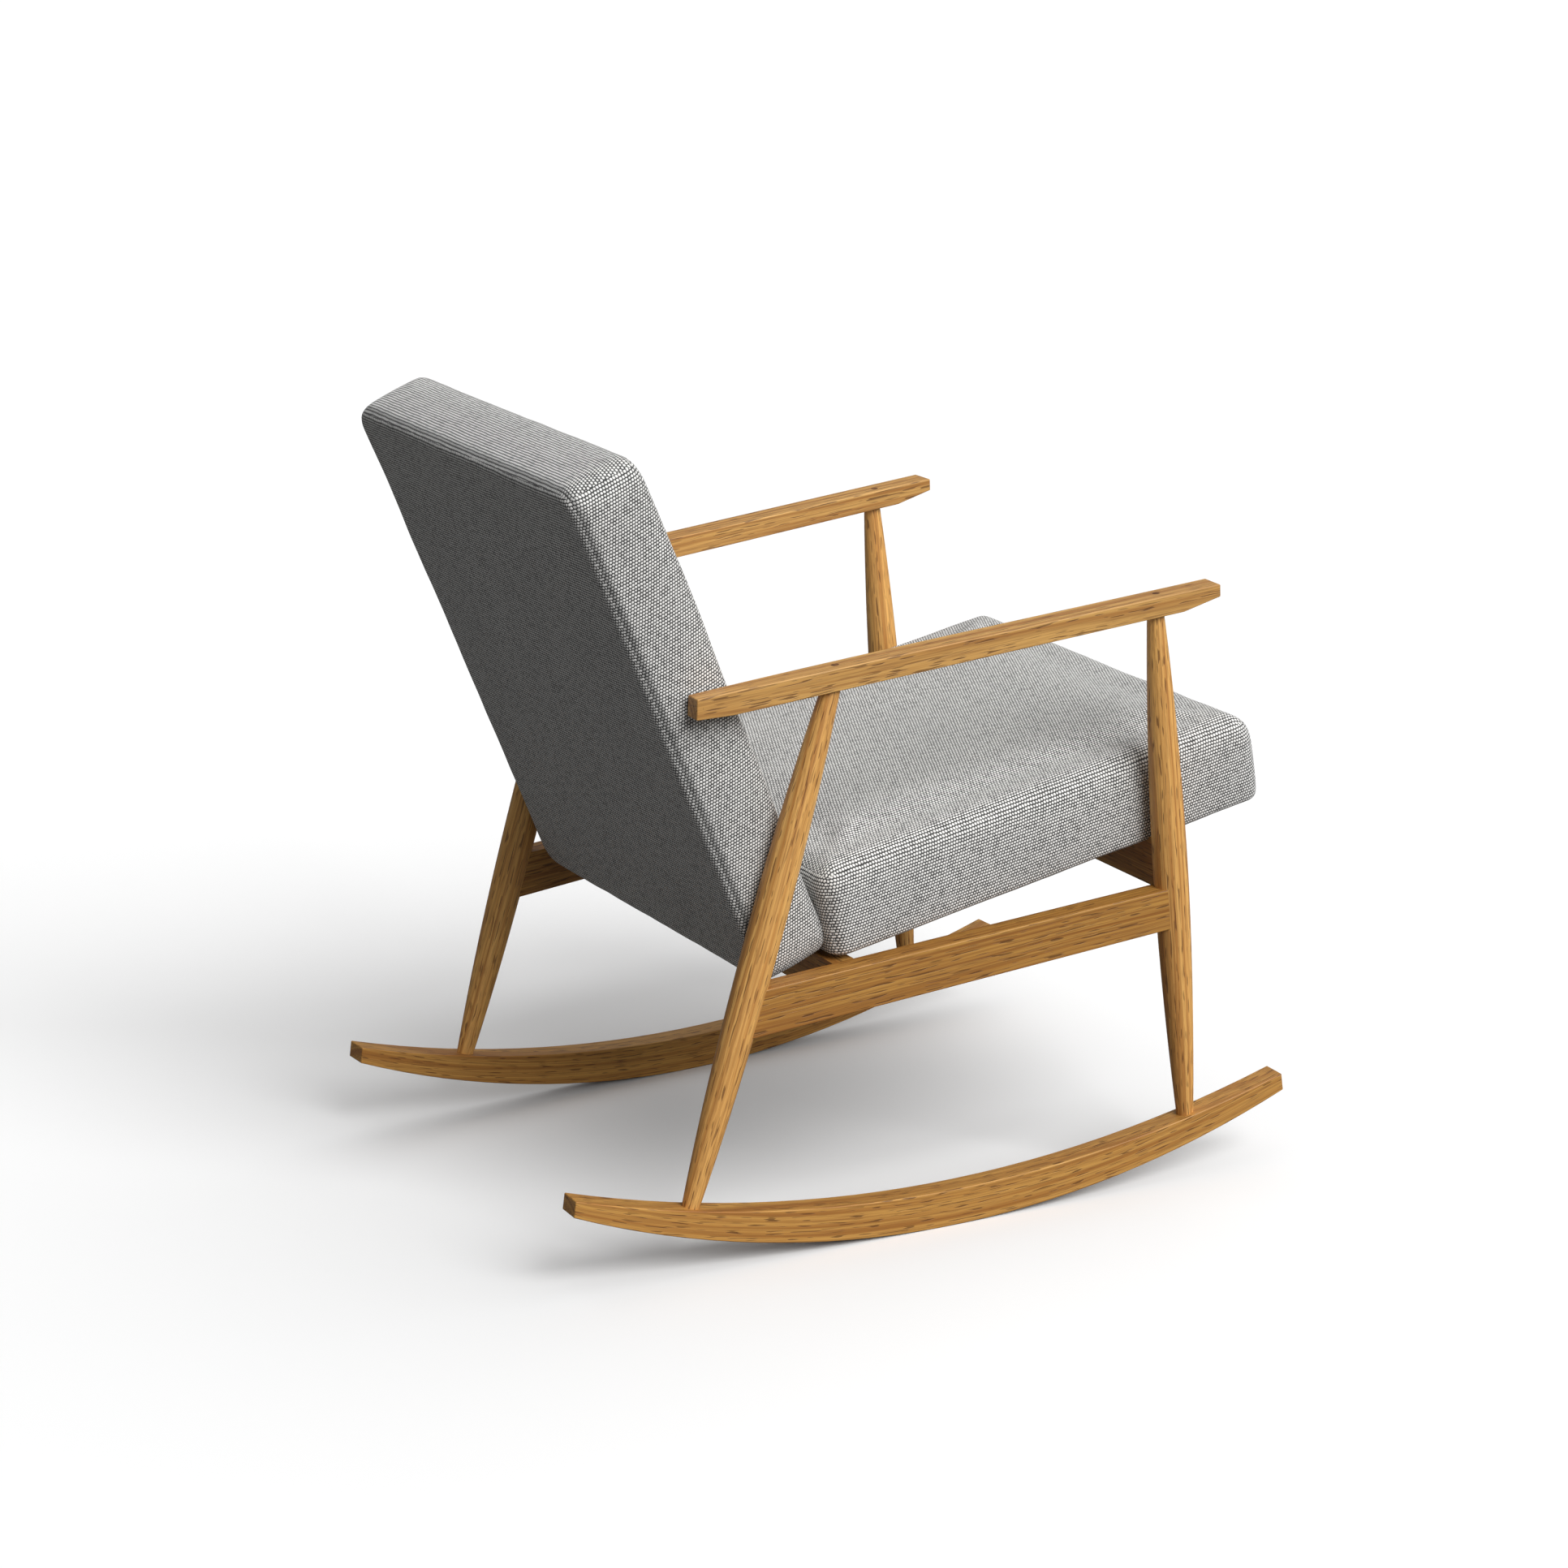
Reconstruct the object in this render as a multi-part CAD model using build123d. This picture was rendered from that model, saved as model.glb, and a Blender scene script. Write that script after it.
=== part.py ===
from build123d import *
import math
import os

# Rocking chair with a wooden frame, an upholstered seat and an upholstered back.
# Millimetres. +Z is up, the chair faces -Y, and the origin is on the floor, midway
# between the rockers at the place where they touch it.

# ---- side frames: one vertical plane each, drawn together towards the back ----
OUTER_HALF = 293.0           # outer face of a side frame at y = 0
TOE_IN = 2.434               # degrees that each side frame turns in towards the back
FRAME_T = 28.9               # thickness of rocker, side rail and armrest front

# ---- rockers ----
ROCKER_R_BOTTOM = 1092.0
ROCKER_R_TOP = 1425.0
ROCKER_MID_T = 40.3
ROCKER_FRONT = (-414.1, -416.8)    # y of the front end, top and bottom
ROCKER_REAR = (429.5, 431.9)       # y of the rear end, top and bottom
EDGE_EASE = 1.2

# ---- legs (y, z of the axis at foot and head) ----
LEG_IN = 14.5                # leg axis behind the outer face of the side frame
FRONT_FOOT = (-299.5, 75.0)
FRONT_HEAD = (-247.5, 627.8)
REAR_FOOT = (293.8, 74.8)
REAR_HEAD = (135.7, 596.2)
FRONT_LEG_D = (19.0, 37.2, 18.8)   # foot, belly, head
REAR_LEG_D = (19.0, 36.6, 20.2)
FRONT_BELLY_Z = 345.0
REAR_BELLY_Z = 358.0

# ---- armrests (y, z of the outer face) ----
ARM_OUTLINE = [
    (290.7, 611.5), (-317.0, 660.4), (-317.6, 647.2),
    (-273.6, 635.7), (250.0, 590.4), (291.5, 589.9),
]
ARM_PLAN = [(-330.0, 30.2), (-20.0, 29.4), (204.0, 25.4), (300.0, 20.6)]   # y, width
BOLT_ARM_W = 21.8            # armrest width at the back bolt
PLUG_D = 8.0
PLUG_T = 6.0
PLUG_FRONT = (-17.0, -248.5)       # x behind the outer face, y
PLUG_REAR = (-14.5, 130.0)

# ---- side rails (y, z) ----
RAIL_FRONT = (-280.0, 334.5, 289.7)
RAIL_REAR = (230.0, 295.4, 246.4)

# ---- seat cushion: tilted box, origin at the middle of its bottom rear edge ----
SEAT_TILT = 10.35
SEAT_REAR_Y = 117.0
SEAT_REAR_Z = 312.6
SEAT_W = 527.0
SEAT_DEPTH = 531.0
SEAT_H = 97.0

# ---- back cushion: leaning box, origin at the middle of its bottom rear edge ----
BACK_LEAN = 22.35
BACK_Y = 196.7
BACK_Z = 288.7
BACK_W = 494.0
BACK_LEN = 575.0
BACK_RISE = 4.0              # the front top edge stands higher than the rear one
BACK_FRONT = [(0.0, 77.0), (146.0, 81.0), (306.0, 85.0), (446.0, 82.5), (579.0, 79.0)]
BACK_CORNER = 26.0

CLOTH = 2.0                  # cover thickness
BOARD_CHAMFER = 5.0          # on the inner boards, behind the cushions' outer edges
BOLT_AT = (279.2, 601.9)     # y, z of the back bolts on the outer face


def side_place():
    """Place of the left side frame: x = 0 is its outer face, -x is towards the middle."""
    return Location((OUTER_HALF, 0, 0), (0, 0, TOE_IN))


def on_side(shape):
    return side_place() * shape


def other_side(shape):
    return mirror(shape, about=Plane.YZ)


def outline_yz(points, x_from, x_to):
    """Solid with an outline in the YZ plane, between two x values."""
    face = Plane.YZ * make_face(Polyline(*points, close=True))
    return Pos(x_from, 0, 0) * extrude(face, x_to - x_from, dir=(1, 0, 0))


def rod(start, end, radius):
    """Round rod between two points."""
    a = Vector(*start)
    b = Vector(*end)
    place = Plane(origin=a, z_dir=b - a)
    length = (b - a).length
    return place * Cylinder(radius, length, align=(Align.CENTER, Align.CENTER, Align.MIN))


def lerp(a, b, t):
    return a + (b - a) * t


# ---------------------------------------------------------------- side frame pieces
def rocker_top(y):
    return ROCKER_MID_T + ROCKER_R_TOP - math.sqrt(ROCKER_R_TOP ** 2 - y * y)


def rocker_bottom(y):
    return ROCKER_R_BOTTOM - math.sqrt(ROCKER_R_BOTTOM ** 2 - y * y)


def rocker():
    """Curved runner, thick in the middle and thin at both ends."""
    ft, fb = ROCKER_FRONT
    rt, rb = ROCKER_REAR
    p_ft = (ft, rocker_top(ft))
    p_fb = (fb, rocker_bottom(fb))
    p_rt = (rt, rocker_top(rt))
    p_rb = (rb, rocker_bottom(rb))
    top = ThreePointArc(p_ft, (0, ROCKER_MID_T), p_rt)
    bottom = ThreePointArc(p_rb, (0, 0), p_fb)
    wires = top + Line(p_rt, p_rb) + bottom + Line(p_fb, p_ft)
    face = Plane.YZ * make_face(wires)
    body = extrude(face, -FRAME_T, dir=(1, 0, 0))
    return fillet(body.edges(), EDGE_EASE)


def leg_point(foot, head, z):
    t = (z - foot[1]) / (head[1] - foot[1])
    return lerp(foot[0], head[0], t)


def leg(foot, head, diameters, belly_z, low_power, high_power):
    """Turned leg: slim at foot and head, fullest at the side rail."""
    length = math.hypot(head[0] - foot[0], head[1] - foot[1])
    belly = length * (belly_z - foot[1]) / (head[1] - foot[1])
    d_foot, d_belly, d_head = diameters
    extra = 5.0
    points = []
    for i in range(7):
        s = lerp(-extra, belly, i / 7)
        u = (belly - s) / belly
        points.append(((d_belly - (d_belly - d_foot) * u ** low_power) / 2, s))
    for i in range(8):
        s = lerp(belly, length + extra, i / 7)
        u = (s - belly) / (length - belly)
        points.append(((d_belly - (d_belly - d_head) * u ** high_power) / 2, s))
    side = Spline(*points)
    low = Line((0, -extra), points[0])
    high = Line(points[-1], (0, length + extra))
    axis_line = Line((0, length + extra), (0, -extra))
    face = Plane.XZ * make_face(low + side + high + axis_line)
    turned = revolve(face, Axis.Z)
    direction = (0, head[0] - foot[0], head[1] - foot[1])
    place = Plane(origin=(-LEG_IN, foot[0], foot[1]), x_dir=(1, 0, 0), z_dir=direction)
    return place * turned


def armrest_blank():
    """Straight armrest, chamfered under its front tip and narrower at the rear."""
    body = outline_yz(ARM_OUTLINE, -FRAME_T - 3, 0)
    inner = Spline(*[(-width, y) for y, width in ARM_PLAN])
    y_front, w_front = ARM_PLAN[0]
    y_rear, w_rear = ARM_PLAN[-1]
    rest = Polyline((-w_rear, y_rear), (0, y_rear), (0, y_front), (-w_front, y_front))
    wedge = Pos(0, 0, 560) * extrude(make_face(inner + rest), 130)
    body = body & wedge
    return fillet(body.edges(), EDGE_EASE)


def side_rail_blank():
    fy, ft, fb = RAIL_FRONT
    ry, rt, rb = RAIL_REAR
    body = outline_yz([(fy, ft), (ry, rt), (ry, rb), (fy, fb)], -FRAME_T + 1.0, -1.0)
    return fillet(body.edges().filter_by_position(Axis.Y, -200, 200), EDGE_EASE)


def leg_axis(foot, head):
    v = Vector(0, head[0] - foot[0], head[1] - foot[1])
    return v.normalized()


def axis_rod(foot, head, z_from, z_to, radius):
    """Rod on a leg's axis between two heights."""
    a = (-LEG_IN, leg_point(foot, head, z_from), z_from)
    b = (-LEG_IN, leg_point(foot, head, z_to), z_to)
    return rod(a, b, radius)


def arm_top(y):
    (y0, z0), (y1, z1) = ARM_OUTLINE[0], ARM_OUTLINE[1]
    return z0 + (z1 - z0) * (y - y0) / (y1 - y0)


LEGS = [(FRONT_FOOT, FRONT_HEAD), (REAR_FOOT, REAR_HEAD)]


def foot_dowels():
    """Dowels that hold the legs' feet in the rocker."""
    return [axis_rod(f, h, f[1] - 20, f[1] + 30, 5.0) for f, h in LEGS]


def plug_lines():
    """Start on the armrest's top face and downward direction of each leg screw."""
    out = []
    for (foot, head), (x, y) in zip(LEGS, (PLUG_FRONT, PLUG_REAR)):
        out.append((Vector(x, y, arm_top(y)), leg_axis(foot, head) * -1))
    return out


def top_plugs():
    """Wooden plugs over the leg screws, trimmed flush with the armrest."""
    return [rod(top - down * 4, top + down * PLUG_T, PLUG_D / 2) for top, down in plug_lines()]


def top_screws():
    """Countersunk wood screws, one down through the armrest into each leg."""
    screws = []
    for top, down in plug_lines():
        place = Plane(origin=top + down * PLUG_T, z_dir=down)
        cone = place * Pos(0, 0, 1.5) * Cone(3.9, 2.0, 3.0)
        shank = place * Cylinder(2.0, 48, align=(Align.CENTER, Align.CENTER, Align.MIN))
        screws.append(cone + shank)
    return screws


def rail_mid(y, share):
    fy, ft, fb = RAIL_FRONT
    ry, rt, rb = RAIL_REAR
    t = (y - fy) / (ry - fy)
    return lerp(lerp(fb, rb, t), lerp(ft, rt, t), share)


def rail_dowels():
    """Two dowels at each end of the side rail, into the legs."""
    out = []
    for foot, head in LEGS:
        for share in (0.28, 0.72):
            z = rail_mid(leg_point(foot, head, 310), share)
            y = leg_point(foot, head, z)
            inward = 1 if y < 0 else -1
            out.append(rod((-LEG_IN, y - inward * 4, z), (-LEG_IN, y + inward * 42, z), 4.0))
    return out


# ---------------------------------------------------------------- cross rails
FRONT_BAR = (-284.6, -262.6)
FRONT_BAR_BOTTOM = 330.0
REAR_BAR = (98.5, 123.0)
REAR_BAR_BOTTOM = 262.0


def seat_bottom(y):
    return SEAT_REAR_Z + (SEAT_REAR_Y - y) * math.tan(math.radians(SEAT_TILT))


def rear_bar_top(y):
    """The rear cross rail is level with the top edges of the side rails."""
    return rail_mid(y, 1.0) - 0.5


def bar(y_range, bottom, half, top):
    y0, y1 = y_range
    points = [(y0, bottom), (y1, bottom), (y1, top(y1)), (y0, top(y0))]
    return outline_yz(points, -half, half)


def seat_pads():
    """Spacers between the rear cross rail and the underside of the seat."""
    out = []
    y0, y1 = REAR_BAR
    y1 = SEAT_REAR_Y - 1.5
    points = [
        (y0 + 1, rear_bar_top(y0 + 1)), (y1, rear_bar_top(y1)),
        (y1, seat_bottom(y1)), (y0 + 1, seat_bottom(y0 + 1)),
    ]
    for x in (-170.0, 170.0):
        out.append(outline_yz(points, x - 20, x + 20))
    return out


# ---------------------------------------------------------------- cushions
def seat_plane():
    a = math.radians(SEAT_TILT)
    return Plane(
        origin=(0, SEAT_REAR_Y, SEAT_REAR_Z), x_dir=(1, 0, 0),
        z_dir=(0, math.sin(a), math.cos(a)),
    )


def back_plane():
    a = math.radians(BACK_LEAN)
    return Plane(
        origin=(0, BACK_Y, BACK_Z), x_dir=(1, 0, 0), z_dir=(0, math.sin(a), math.cos(a)),
    )


def seat_block(inset, low, high, corner, top_round):
    """Cushion block in the seat's own frame, rounded at the corners and the top edge."""
    depth = SEAT_DEPTH - 2 * inset
    block = Pos(0, -SEAT_DEPTH / 2, low) * Box(
        SEAT_W - 2 * inset, depth, high - low,
        align=(Align.CENTER, Align.CENTER, Align.MIN),
    )
    block = fillet(block.edges().filter_by(Axis.Z), corner)
    if top_round > 0:
        block = fillet(block.faces().sort_by(Axis.Z)[-1].edges(), top_round)
    return block


SEAT_PANEL = 1.5
SEAT_BOARD = 20.0
SEAT_WEB = 21.5


def seat_cover():
    outer = seat_block(0, 0, SEAT_H, 16, 20)
    inner = seat_block(CLOTH, -5, SEAT_H - CLOTH, 14, 18)
    return outer - inner


def seat_foam():
    return seat_block(CLOTH, SEAT_WEB, SEAT_H - CLOTH, 14, 18)


def seat_dust_cover():
    return seat_block(CLOTH, 0, SEAT_PANEL, 14, 0)


def seat_rim():
    """Outline of the inner boards, with the lower outer edges taken off."""
    rim = seat_block(CLOTH, SEAT_PANEL, SEAT_BOARD, 14, 0)
    return chamfer(rim.faces().sort_by(Axis.Z)[0].edges(), BOARD_CHAMFER)


def seat_side_boards():
    rim = seat_rim()
    half = SEAT_W / 2 - CLOTH
    keep = Pos(half - 25, -SEAT_DEPTH / 2, 0) * Box(50, SEAT_DEPTH, 200)
    return [rim & keep, rim & mirror(keep, about=Plane.YZ)]


def seat_end_boards():
    width = SEAT_W - 2 * CLOTH - 100
    height = SEAT_BOARD - SEAT_PANEL
    rim = seat_rim()
    out = []
    for y in (-CLOTH - 30, -SEAT_DEPTH + CLOTH + 30):
        board = Box(width, 60, height, align=(Align.CENTER, Align.CENTER, Align.MIN))
        out.append((Pos(0, y, SEAT_PANEL) * board) & rim)
    return out


def seat_webbing():
    out = []
    thick = SEAT_WEB - SEAT_BOARD
    for i in range(5):
        y = lerp(-100, -SEAT_DEPTH + 100, i / 4)
        out.append(
            Pos(0, y, SEAT_BOARD)
            * Box(SEAT_W - 40, 50, thick, align=(Align.CENTER, Align.CENTER, Align.MIN))
        )
    return out


BACK_PANEL = 1.5
BACK_POST = 46.5
BACK_WEB = 48.0


def back_block(inset, rear, corner, front_round):
    """Back cushion block in its own frame: z runs up the back, -y is the front."""
    front = [(-(m - inset), h) for h, m in BACK_FRONT]
    front[0] = (front[0][0], inset)
    front[-1] = (front[-1][0], BACK_LEN + BACK_RISE - inset)
    rear_top = BACK_LEN + BACK_RISE * rear / BACK_FRONT[-1][1] - inset
    curve = Spline(*front)
    low = Line((-rear, inset), front[0])
    high = Line(front[-1], (-rear, rear_top))
    rear_line = Line((-rear, rear_top), (-rear, inset))
    face = Plane.YZ * make_face(low + curve + high + rear_line)
    half = BACK_W / 2 - inset
    block = Pos(-half, 0, 0) * extrude(face, 2 * half, dir=(1, 0, 0))
    ends = block.faces().sort_by(Axis.Z)
    sides = block.faces().sort_by(Axis.X)
    side_edges = sides[0].edges() + sides[-1].edges()
    end_edges = ends[0].edges() + ends[-1].edges()
    block = fillet([e for e in side_edges if any(e.is_same(o) for o in end_edges)], corner)
    if front_round > 0:
        ring = block.faces().sort_by(Axis.Y)[0].outer_wire().edges()
        block = fillet(ring, front_round)
    return block


def back_cover():
    outer = back_block(0, 0, BACK_CORNER, 9)
    inner = back_block(CLOTH, -5, BACK_CORNER - CLOTH, 7)
    return outer - inner


def back_foam():
    return back_block(CLOTH, BACK_WEB, BACK_CORNER - CLOTH, 7)


def back_rear_panel():
    slab = back_block(CLOTH, 0, BACK_CORNER - CLOTH, 0)
    keep = Pos(0, -BACK_PANEL / 2, BACK_LEN / 2) * Box(BACK_W, BACK_PANEL, BACK_LEN)
    return slab & keep


def back_rim():
    """Outline of the inner frame, with the rear outer edges taken off."""
    slab = back_block(CLOTH, BACK_PANEL, BACK_CORNER - CLOTH, 0)
    return chamfer(slab.faces().sort_by(Axis.Y)[-1].edges(), BOARD_CHAMFER)


def back_posts():
    slab = back_rim()
    depth = BACK_POST - BACK_PANEL
    x = BACK_W / 2 - CLOTH - 16
    keep = Pos(x, -BACK_PANEL - depth / 2, BACK_LEN / 2) * Box(32, depth, BACK_LEN)
    return [slab & keep, slab & mirror(keep, about=Plane.YZ)]


def back_rails():
    slab = back_rim()
    width = BACK_W - 2 * CLOTH - 64
    depth = BACK_POST - BACK_PANEL
    out = []
    for z in (CLOTH + 25, BACK_LEN - CLOTH - 25):
        out.append((Pos(0, -BACK_PANEL - depth / 2, z) * Box(width, depth, 50)) & slab)
    return out


def back_webbing():
    out = []
    for i in range(5):
        z = lerp(100, BACK_LEN - 100, i / 4)
        out.append(Pos(0, -(BACK_POST + BACK_WEB) / 2, z) * Box(BACK_W - 40, 1.5, 50))
    return out


# ---------------------------------------------------------------- fixings
def bolt_line():
    """Global y, z of the back bolts, and the x values along one of them (left side)."""
    y, z = BOLT_AT
    outer = OUTER_HALF - y * math.tan(math.radians(TOE_IN))
    arm_inner = outer - BOLT_ARM_W
    back_side = BACK_W / 2
    return y, z, outer, arm_inner, back_side


def x_rod(x0, x1, y, z, radius):
    return rod((x0, y, z), (x1, y, z), radius)


def back_cap():
    y, z, outer, _, _ = bolt_line()
    return x_rod(outer - 7.0, outer - 0.2, y, z, 4.9)


def back_bolt():
    y, z, outer, _, side = bolt_line()
    head = x_rod(outer - 11.0, outer - 7.0, y, z, 4.9)
    return head + x_rod(side - 30, outer - 11.0, y, z, 3.0)


def back_spacer():
    y, z, _, inner, side = bolt_line()
    tube = x_rod(side, inner + 3, y, z, 8.0)
    return tube - x_rod(side - 1, inner + 4, y, z, 3.0)


def back_insert():
    y, z, _, _, side = bolt_line()
    sleeve = x_rod(side - 26, side - CLOTH, y, z, 4.5)
    return sleeve - x_rod(side - 31, side + 1, y, z, 3.0)


def seat_bolt_points():
    """Global x, y of the seat bolts and the underside that each one bears on."""
    rear = REAR_BAR[0] + 9.0
    front = (FRONT_BAR[0] + FRONT_BAR[1]) / 2
    return [
        (x, y, bottom)
        for x in (-170.0, 170.0)
        for y, bottom in ((front, FRONT_BAR_BOTTOM), (rear, REAR_BAR_BOTTOM))
    ]


def seat_bolts():
    out = []
    for x, y, bottom in seat_bolt_points():
        top = seat_bottom(y) + 14
        head = rod((x, y, bottom), (x, y, bottom + 5), 5.0)
        out.append(head + rod((x, y, bottom + 5), (x, y, top), 3.0))
    return out


def seat_inserts():
    out = []
    for x, y, _ in seat_bolt_points():
        low = seat_bottom(y) + 3.5
        sleeve = rod((x, y, low), (x, y, low + 12), 4.5)
        out.append(sleeve - rod((x, y, low - 5), (x, y, low + 20), 3.0))
    return out


BRACKET_X = 120.0
BRACKET_T = 2.5


def back_bracket():
    """Bent steel strap from the rear cross rail to the underside of the back."""
    a = math.radians(BACK_LEAN)
    y0 = REAR_BAR[1]
    run = Vector(0, math.cos(a), -math.sin(a))
    down = Vector(0, -math.sin(a), -math.cos(a))
    base = Vector(0, BACK_Y, BACK_Z)
    rear_top = base - run * 18
    length = (rear_top.Y - y0) / run.Y
    corner = rear_top - run * length
    far = rear_top + down * BRACKET_T
    near_low = corner + down * BRACKET_T
    inner_y = y0 + BRACKET_T
    slope = run.Z / run.Y
    inner_z = near_low.Z + slope * (inner_y - near_low.Y)
    points = [
        (y0, corner.Z), (rear_top.Y, rear_top.Z), (far.Y, far.Z),
        (inner_y, inner_z), (inner_y, REAR_BAR_BOTTOM + 8), (y0, REAR_BAR_BOTTOM + 8),
    ]
    return outline_yz(points, BRACKET_X - 15, BRACKET_X + 15)


def bracket_screws():
    """Two screws up into the back and one into the cross rail, for one bracket."""
    a = math.radians(BACK_LEAN)
    run = Vector(0, math.cos(a), -math.sin(a))
    up = Vector(0, math.sin(a), math.cos(a))
    base = Vector(0, BACK_Y, BACK_Z)
    out = []
    for x in (BRACKET_X - 8, BRACKET_X + 8):
        p = base - run * 26 + Vector(x, 0, 0)
        head = rod(p - up * (BRACKET_T + 2), p - up * BRACKET_T, 4.0)
        out.append(head + rod(p - up * BRACKET_T, p + up * 22, 1.8))
    z = REAR_BAR_BOTTOM + 16
    y = REAR_BAR[1]
    head = rod((BRACKET_X, y + BRACKET_T + 2, z), (BRACKET_X, y + BRACKET_T, z), 4.0)
    out.append(head + rod((BRACKET_X, y + BRACKET_T, z), (BRACKET_X, y - 16, z), 1.8))
    return out


def bar_dowels(y_range, bottom, x_centre, length, top_line):
    y = (y_range[0] + y_range[1]) / 2
    top = top_line(y)
    out = []
    for share in (0.3, 0.7):
        z = lerp(bottom, top, share)
        out.append(rod((x_centre - length / 2, y, z), (x_centre + length / 2, y, z), 4.0))
    return out


def both(shapes):
    return shapes + [other_side(s) for s in shapes]


def cut_all(body, tools):
    for tool in tools:
        body = body - tool
    return body


def build():
    """Every piece, already fitted to its neighbours."""
    front_leg_raw = on_side(leg(FRONT_FOOT, FRONT_HEAD, FRONT_LEG_D, FRONT_BELLY_Z, 1.8, 2.0))
    rear_leg_raw = on_side(leg(REAR_FOOT, REAR_HEAD, REAR_LEG_D, REAR_BELLY_Z, 2.3, 2.0))
    runner_raw = on_side(rocker())
    arm_raw = on_side(armrest_blank())
    rail_raw = on_side(side_rail_blank())

    feet = [on_side(d) for d in foot_dowels()]
    plugs = [on_side(p) & arm_raw for p in top_plugs()]
    screws = [on_side(s) for s in top_screws()]
    rail_pins = [on_side(d) for d in rail_dowels()]
    front_pins = bar_dowels(FRONT_BAR, FRONT_BAR_BOTTOM, 268.0, 36, seat_bottom)
    rear_pins = bar_dowels(REAR_BAR, REAR_BAR_BOTTOM, 259.0, 36, rear_bar_top)

    cap = back_cap()
    bolt = back_bolt()
    spacer = back_spacer()
    insert = back_insert()

    runner = cut_all(runner_raw, feet)
    arm = cut_all(arm_raw, plugs + screws + [cap, bolt, spacer])
    blocks = [runner_raw, arm_raw]
    front_leg = cut_all(front_leg_raw, blocks + feet + screws + rail_pins + front_pins)
    rear_leg = cut_all(rear_leg_raw, blocks + feet + screws + rail_pins)
    rail = cut_all(rail_raw, [front_leg_raw, rear_leg_raw] + rail_pins + rear_pins)
    rail = rail.solids().sort_by(SortBy.VOLUME)[-1]

    seat_bolt_set = seat_bolts()
    front_bar = bar(FRONT_BAR, FRONT_BAR_BOTTOM, 290, seat_bottom)
    front_bar = cut_all(front_bar, both([front_leg_raw, rail_raw]))
    front_bar = front_bar.solids().sort_by(SortBy.VOLUME)[-1]
    front_bar = cut_all(front_bar, both(front_pins) + seat_bolt_set)
    rear_bar = bar(REAR_BAR, REAR_BAR_BOTTOM, 285, rear_bar_top)
    rear_bar = cut_all(rear_bar, [rail_raw, other_side(rail_raw)])
    rear_bar = rear_bar.solids().sort_by(SortBy.VOLUME)[-1]
    brackets = both([back_bracket()])
    strap_screws = both(bracket_screws())
    brackets = [cut_all(b, strap_screws) for b in brackets]
    rear_bar = cut_all(rear_bar, both(rear_pins) + seat_bolt_set + strap_screws)

    seat = seat_plane()
    inserts = seat_inserts()
    seat_cuts = seat_bolt_set + inserts
    seat_sides = [seat * s for s in seat_side_boards()]
    seat_ends = [cut_all(seat * s, seat_cuts) for s in seat_end_boards()]
    dust = cut_all(seat * seat_dust_cover(), seat_cuts)
    pads = [cut_all(p, seat_bolt_set) for p in seat_pads()]

    back = back_plane()
    bolt_set = both([bolt])
    insert_set = both([insert])
    back_cuts = bolt_set + insert_set
    posts = [cut_all(back * p, back_cuts) for p in back_posts()]
    rails = [cut_all(back * r, strap_screws) for r in back_rails()]
    cover = cut_all(back * back_cover(), back_cuts + strap_screws)

    return {
        "rocker_left": [runner],
        "rocker_right": [other_side(runner)],
        "front_leg_left": [front_leg],
        "front_leg_right": [other_side(front_leg)],
        "rear_leg_left": [rear_leg],
        "rear_leg_right": [other_side(rear_leg)],
        "armrest_left": [arm],
        "armrest_right": [other_side(arm)],
        "side_rail_left": [rail],
        "side_rail_right": [other_side(rail)],
        "front_cross_rail": [front_bar],
        "rear_cross_rail": [rear_bar],
        "leg_foot_dowels": both(feet),
        "leg_top_plugs": both(plugs),
        "leg_top_screws": both(screws),
        "side_rail_dowels": both(rail_pins),
        "cross_rail_dowels": both(front_pins + rear_pins),
        "back_bolt_caps": both([cap]),
        "back_bolts": bolt_set,
        "back_spacers": both([spacer]),
        "back_inserts": insert_set,
        "back_brackets": brackets,
        "back_bracket_screws": strap_screws,
        "back_frame_posts": posts,
        "back_frame_rails": rails,
        "back_webbing": [back * s for s in back_webbing()],
        "back_foam": [back * back_foam()],
        "back_cover": [cover],
        "back_rear_panel": [back * back_rear_panel()],
        "seat_frame_sides": seat_sides,
        "seat_frame_ends": seat_ends,
        "seat_webbing": [seat * s for s in seat_webbing()],
        "seat_foam": [seat * seat_foam()],
        "seat_cover": [seat * seat_cover()],
        "seat_dust_cover": [dust],
        "seat_rest_pads": pads,
        "seat_bolts": seat_bolt_set,
        "seat_inserts": inserts,
    }


def main():
    os.makedirs("parts", exist_ok=True)
    for name, shapes in build().items():
        solids = [solid for shape in shapes for solid in shape.solids()]
        whole = solids[0] if len(solids) == 1 else Compound(children=solids)
        whole.label = name
        export_step(whole, f"parts/{name}.step")
        print(name, len(solids), round(sum(s.volume for s in solids)))


main()
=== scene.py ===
"""Looks for a wooden rocking chair with an upholstered seat and back, in metres."""
import math

import bpy
import numpy as np
from mathutils import Matrix, Vector, noise


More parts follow.
